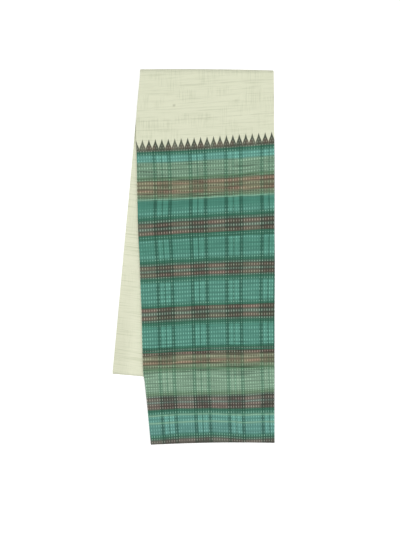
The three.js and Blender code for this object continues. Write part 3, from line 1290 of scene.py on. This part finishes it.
    def relief(self, board: NodeBoard, across: object, along: object) -> None:
        """Add the threads' fine relief to the shader.

        Args:
            board: The material.
            across: The stripes' coordinate.
            along: The bands' coordinate.
        """
        turn = math.tau / self.thread
        warp = board.math("SINE", board.times(across, turn))
        weft = board.math("SINE", board.times(along, turn))
        slubs = board.times(board.noise(across, along, self.relief_grain), self.relief_slubs)
        height = board.plus(board.times(warp, weft), slubs)
        bump = board.tree.nodes.new("ShaderNodeBump")
        bump.inputs["Strength"].default_value = self.relief_strength
        bump.inputs["Distance"].default_value = self.thread_relief
        board.feed(bump.inputs["Height"], height)
        board.feed(board.shader.inputs["Normal"], bump.outputs[0])


@dataclass(frozen=True)
class FloorFinish:
    """The pale matt floor, with a slight glow that keeps the shadows faint."""

    name: str = "pale_floor"
    colour: Colour = (250, 250, 250)
    glow: float = 0.2
    roughness: float = 0.95

    def material(self) -> bpy.types.Material:
        """Make the floor's material.

        Returns:
            The material.
        """
        board = NodeBoard(self.name)
        board.shader.inputs["Base Color"].default_value = linear(self.colour)
        board.shader.inputs["Roughness"].default_value = self.roughness
        board.shader.inputs["Specular IOR Level"].default_value = 0.0
        board.shader.inputs["Emission Color"].default_value = linear(self.colour)
        board.shader.inputs["Emission Strength"].default_value = self.glow
        return board.material


@dataclass(frozen=True)
class Lamp:
    """One square, soft lamp that is aimed at the cloth, in watts and metres."""

    name: str
    watts: float
    size: float
    place: tuple[float, float, float]

    def build(self) -> None:
        """Hang the lamp."""
        bpy.ops.object.light_add(type="AREA", location=self.place)
        lamp = bpy.context.object
        lamp.name = self.name
        lamp.data.size = self.size
        lamp.data.energy = self.watts
        aim = -lamp.location.normalized()
        lamp.rotation_euler = aim.to_track_quat("-Z", "Y").to_euler()


@dataclass
class Studio:
    """The floor, the light and the camera, in metres."""

    floor_size: float = 14.0
    frame_height: float = 0.9061
    frame_centre: tuple[float, float] = (0.0109, -0.0162)
    camera_height: float = 4.0
    cloth_height: float = 0.012
    sensor: float = 36.0
    sky: float = 0.3
    key: Lamp = Lamp("key_light", 47.0, 2.6, (0.55, -0.7, 3.85))
    top: Lamp = Lamp("top_light", 200.0, 1.6, (0.0, 0.0, 6.0))

    def build(self) -> None:
        """Lay the floor and set the light and the camera."""
        bpy.ops.object.select_all(action="DESELECT")
        bpy.ops.mesh.primitive_plane_add(size=self.floor_size)
        floor = bpy.context.object
        floor.name = "floor"
        floor.data.materials.append(FloorFinish().material())
        self.light()
        self.camera()

    def light(self) -> None:
        """Set an even white sky, a large soft lamp to one side and a second one overhead."""
        scene = bpy.context.scene
        scene.world = bpy.data.worlds.new("studio_sky")
        scene.world.use_nodes = True
        background = scene.world.node_tree.nodes["Background"]
        background.inputs["Color"].default_value = (1.0, 1.0, 1.0, 1.0)
        background.inputs["Strength"].default_value = self.sky
        scene.view_settings.view_transform = "Standard"
        for lamp in (self.key, self.top):
            lamp.build()

    def camera(self) -> None:
        """Hang the camera straight above the cloth, with a long lens."""
        place = (*self.frame_centre, self.camera_height)
        bpy.ops.object.camera_add(location=place, rotation=(0.0, 0.0, 0.0))
        camera = bpy.context.object
        camera.name = "camera"
        camera.data.sensor_width = self.sensor
        camera.data.lens = self.sensor * (self.camera_height - self.cloth_height) / self.frame_height
        bpy.context.scene.camera = camera


def select_only(piece: bpy.types.Object) -> None:
    """Leave one piece selected and active.

    Args:
        piece: The piece.
    """
    bpy.ops.object.select_all(action="DESELECT")
    piece.select_set(True)
    bpy.context.view_layer.objects.active = piece


def cloth_grid(name: str, points: Points, weave: Points) -> bpy.types.Object:
    """Lay a grid on the strip.

    Args:
        name: The piece's name.
        points: Its points in millimetres, by row, column and coordinate.
        weave: The weave's two coordinates in millimetres at the same points.

    Returns:
        The smooth-shaded grid, facing along the cross product of its columns' and rows' directions.
    """
    rows, columns = points.shape[:2]
    bpy.ops.object.select_all(action="DESELECT")
    bpy.ops.mesh.primitive_grid_add(x_subdivisions=columns - 1, y_subdivisions=rows - 1, size=1.0)
    piece = bpy.context.object
    piece.name = name
    piece.data.name = name
    mesh = piece.data
    flat = np.empty(len(mesh.vertices) * 3)
    mesh.vertices.foreach_get("co", flat)
    flat = flat.reshape(-1, 3)
    column = np.rint((flat[:, 0] + 0.5) * (columns - 1)).astype(int)
    row = np.rint((flat[:, 1] + 0.5) * (rows - 1)).astype(int)
    mesh.vertices.foreach_set("co", (points[row, column] * MM).ravel())
    mesh.uv_layers[0].name = WEAVE_MAP
    corner = np.empty(len(mesh.loops), dtype=int)
    mesh.loops.foreach_get("vertex_index", corner)
    mesh.uv_layers[0].uv.foreach_set("vector", (weave[row[corner], column[corner]] * MM).ravel())
    mesh.update()
    bpy.ops.object.shade_smooth()
    return piece


def give_wall(piece: bpy.types.Object, thickness: float) -> None:
    """Thicken a grid inwards into a closed wall.

    Args:
        piece: The grid.
        thickness: The wall's thickness in millimetres.
    """
    select_only(piece)
    solidify = piece.modifiers.new("wall", "SOLIDIFY")
    solidify.thickness = thickness * MM
    solidify.offset = -1.0
    bpy.ops.object.modifier_apply(modifier=solidify.name)


@dataclass
class Sheet:
    """One layer of the cloth that shows, in millimetres."""

    path: StripPath
    name: str
    first_run: float
    last_run: float
    level: float
    wall: float = 0.3
    row_pitch: float = 5.0
    column_pitch: float = 5.5
    edge_columns: tuple[float, ...] = (0.0, 0.12, 0.35, 0.8, 2.0)
    edge_drop: float = 0.28
    edge_reach: float = 0.8
    side_wander: float = 0.1
    side_waves: tuple[float, float] = (210.0, 260.0)
    fold_rows: int = 15
    piece: bpy.types.Object | None = None

    def shares(self, run: Points, seed: int) -> Points:
        """Give the shares across the strip of the sheet's columns, close together at its two edges.

        Args:
            run: The runs of its rows.
            seed: Which uneven line its edges follow.

        Returns:
            Shares by row and column.
        """
        ends = self.path.places(np.array([[0.0, 1.0]]), run[:, None], self.path.middle_gap)
        width = np.hypot(*(ends[:, 1, :2] - ends[:, 0, :2]).T)[:, None]
        edges = np.array(self.edge_columns)[None, :]
        middle = np.linspace(0.0, 1.0, round(float(width.mean()) / self.column_pitch))[None, 1:-1]
        left_wave, right_wave = self.side_waves
        left_in = self.side_wander * (1.0 + wander(run, seed, left_wave))[:, None]
        right_in = self.side_wander * (1.0 + wander(run, seed + 1, right_wave))[:, None]
        inner_left = left_in + edges[:, -1:]
        inner_right = width - right_in - edges[:, -1:]
        return np.hstack(
            [
                (left_in + edges) / width,
                (inner_left + middle * (inner_right - inner_left)) / width,
                (width - right_in - edges[:, ::-1]) / width,
            ]
        )

    def build(self, seed: int) -> None:
        """Lay the sheet on the path, with its side edges turned down.

        Args:
            seed: Which uneven lines its edges follow.
        """
        count = max(2, round((self.last_run - self.first_run) / self.row_pitch) + 1)
        run = np.linspace(self.first_run, self.last_run, count)
        fold_rows = np.linspace(self.path.axis_run, self.path.axis_run + self.path.fold_run, self.fold_rows)
        inside = (fold_rows > self.first_run) & (fold_rows < self.last_run)
        run = np.unique(np.round(np.concatenate([run, fold_rows[inside]]), 3))
        across = self.shares(run, seed)
        from_edge = np.minimum(across, 1.0 - across) * self.path.strip_width
        drop = self.edge_drop * (1.0 - smooth_step(0.0, self.edge_reach, from_edge - self.side_wander))
        points = self.path.places(across, run[:, None], self.level - drop)
        self.piece = cloth_grid(self.name, points, self.path.weave(across, run[:, None]))
        give_wall(self.piece, self.wall)

    def dress(self, material: bpy.types.Material, slot: str, *nodes: str) -> None:
        """Give the sheet its finish and let it stand for its solid.

        Args:
            material: The cloth's material.
            slot: A material slot's name; not used.
            nodes: The solids it stands for.
        """
        self.piece.data.materials.append(material)
        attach(self.piece, "root")
        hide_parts(*nodes)


@dataclass
class HiddenFolds:
    """All the layers between the outer and the inner sheet, folded to and fro, in millimetres.

    At each side two layers share a rounded fold, and at the two ends each layer shows its own edge.
    """

    path: StripPath
    name: str = "hidden_folds_cloth"
    row_pitch: float = 6.0
    column_pitch: float = 9.0
    side_columns: float = 7.0
    fold_rows: int = 14
    groove: float = 0.75
    nose: float = 0.06
    leaf_groove: float = 0.35
    side_range: tuple[float, float] = (0.3, 2.4)
    side_wander: float = 0.6
    side_wave: float = 330.0
    end_range: tuple[float, float] = (0.3, 3.2)
    end_skew: float = 0.9
    least_inset: float = 0.1
    lines_a_side: int = 50
    piece: bpy.types.Object | None = None

    def side_insets(self, levels: int, run: Points, start: int, seed: int) -> Points:
        """Give how far each level of one side stops short of the outline.

        Args:
            levels: How many levels there are, two to a layer and one more.
            run: The runs of the rows.
            start: The first level of the first whole fold.
            seed: Which uneven folds these are.

        Returns:
            Insets by level and row.
        """
        profile = (self.groove, self.nose, 0.0, self.nose)
        pick = np.random.default_rng(seed)
        insets = np.empty((levels, len(run)))
        fold_of = [(level - start) // 4 for level in range(levels)]
        for fold in sorted(set(fold_of)):
            line = wander(run, seed * self.lines_a_side + fold, self.side_wave)
            base = np.maximum(pick.uniform(*self.side_range) + self.side_wander * line, self.least_inset)
            for level in [index for index, owner in enumerate(fold_of) if owner == fold]:
                insets[level] = base + profile[(level - start) % 4]
        return insets

    def end_insets(self, levels: int, across: Points, seed: int) -> Points:
        """Give how far each level of one end stops short of the outline.

        Args:
            levels: How many levels there are, two to a layer and one more.
            across: The shares across the strip.
            seed: Which uneven edges these are.

        Returns:
            Insets by level and column.
        """
        pick = np.random.default_rng(seed)
        insets = np.empty((levels, len(across)))
        for level in range(levels):
            if level % 2 == 0:
                base = pick.uniform(*self.end_range)
                skew = pick.uniform(-self.end_skew, self.end_skew) * (across - 0.5)
            groove = self.leaf_groove if level % 2 == 0 else 0.0
            insets[level] = np.maximum(base + skew, self.least_inset) + groove
        return insets

    def build(self) -> None:
        """Lay the six faces of the stack on the path and join them into one closed piece."""
        path = self.path
        lowest, highest = path.middle_gap + path.layer_pitch, path.outside - path.layer_pitch
        level = np.linspace(lowest, highest, 2 * (path.layers - 2) + 1)
        fold_end = path.axis_run + path.fold_run
        back_rows = round(path.back_run / self.row_pitch)
        stretches = [
            np.arange(path.front_end, path.axis_run, self.row_pitch),
            np.linspace(path.axis_run, fold_end, self.fold_rows),
            np.linspace(fold_end, path.back_end_run, back_rows)[1:],
        ]
        run = np.concatenate(stretches)
        ends = path.places(np.array([[0.0, 1.0]]), run[:, None], path.middle_gap)
        width = np.hypot(*(ends[:, 1, :2] - ends[:, 0, :2]).T)
        inner = np.linspace(0.0, 1.0, round(float(width.mean()) / self.column_pitch))
        reach = self.side_columns / width[:, None]
        inner_share = reach + inner[None, :] * (1.0 - 2.0 * reach)
        left = self.side_insets(len(level), run, start=0, seed=11) / width
        right = self.side_insets(len(level), run, start=-2, seed=23) / width
        rows, columns = len(run), len(inner) + 2
        across = np.empty((len(level), rows, columns))
        across[:, :, 0] = left
        across[:, :, 1:-1] = inner_share[None]
        across[:, :, -1] = 1.0 - right
        runs = np.broadcast_to(run[None, :, None], across.shape).copy()
        runs[:, 0, :] += self.end_insets(len(level), across[0, 0], seed=37)
        runs[:, -1, :] -= self.end_insets(len(level), across[0, -1], seed=41)
        points = path.places(across, runs, level[:, None, None])
        weave = path.weave(across, runs)
        faces = {
            "top": (points[-1], weave[-1]),
            "bottom": (points[0].swapaxes(0, 1), weave[0].swapaxes(0, 1)),
            "right": (points[:, :, -1], weave[:, :, -1]),
            "left": (points[:, :, 0].swapaxes(0, 1), weave[:, :, 0].swapaxes(0, 1)),
            "back": (points[:, -1].swapaxes(0, 1), weave[:, -1].swapaxes(0, 1)),
            "front": (points[:, 0], weave[:, 0]),
        }
        patches = [cloth_grid(f"{self.name}_{face}", *grid) for face, grid in faces.items()]
        bpy.ops.object.select_all(action="DESELECT")
        for patch in patches:
            patch.select_set(True)
        self.piece = patches[0]
        bpy.context.view_layer.objects.active = self.piece
        bpy.ops.object.join()
        self.piece.name = self.name
        self.piece.data.name = self.name
        bpy.ops.object.mode_set(mode="EDIT")
        bpy.ops.mesh.select_all(action="SELECT")
        bpy.ops.mesh.remove_doubles(threshold=1e-7)
        bpy.ops.object.mode_set(mode="OBJECT")

    def dress(self, material: bpy.types.Material) -> None:
        """Give the folds their finish and let them stand for the fused solid.

        Args:
            material: The cloth's material.
        """
        self.piece.data.materials.append(material)
        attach(self.piece, "root")
        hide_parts("hidden_folds")


def main() -> None:
    """Build the saree and its studio."""
    logging.basicConfig(level=logging.INFO, format="%(name)s: %(message)s")
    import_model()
    path = StripPath()
    border = Sheet(path, "border_cloth", path.front_end, 0.0, path.outside)
    body = Sheet(path, "body_cloth", 0.0, path.back_end_run, path.outside)
    inner_start, inner_level = path.front_end + INNER_SETBACK, path.middle_gap + INNER_RISE
    inner = Sheet(path, "inner_cloth", inner_start, path.back_end_run, inner_level, edge_drop=-0.15)
    folds = HiddenFolds(path)
    weave = WeaveFinish("checked_weave").material()
    border.build(seed=3)
    border.dress(weave, "checked_cloth", "border_sheet")
    body.build(seed=3)
    body.dress(WeaveFinish("plain_weave").variant(weave), "plain_cloth", "body_sheet")
    inner.build(seed=7)
    inner_finish = WeaveFinish(
        "inner_weave", cream=(227, 228, 204), cream_shade=(201, 205, 178), weft_share=0.9, rib_share=0.2
    )
    inner.dress(inner_finish.variant(weave), "inner_cloth", "inner_sheet")
    folds.build()
    folds.dress(WeaveFinish("folded_weave").variant(weave))
    for sheet in (border, body, inner):
        LOG.info("%s: %d faces", sheet.name, len(sheet.piece.data.polygons))
    LOG.info("%s: %d faces", folds.name, len(folds.piece.data.polygons))
    Studio().build()


if __name__ == "__main__":
    main()
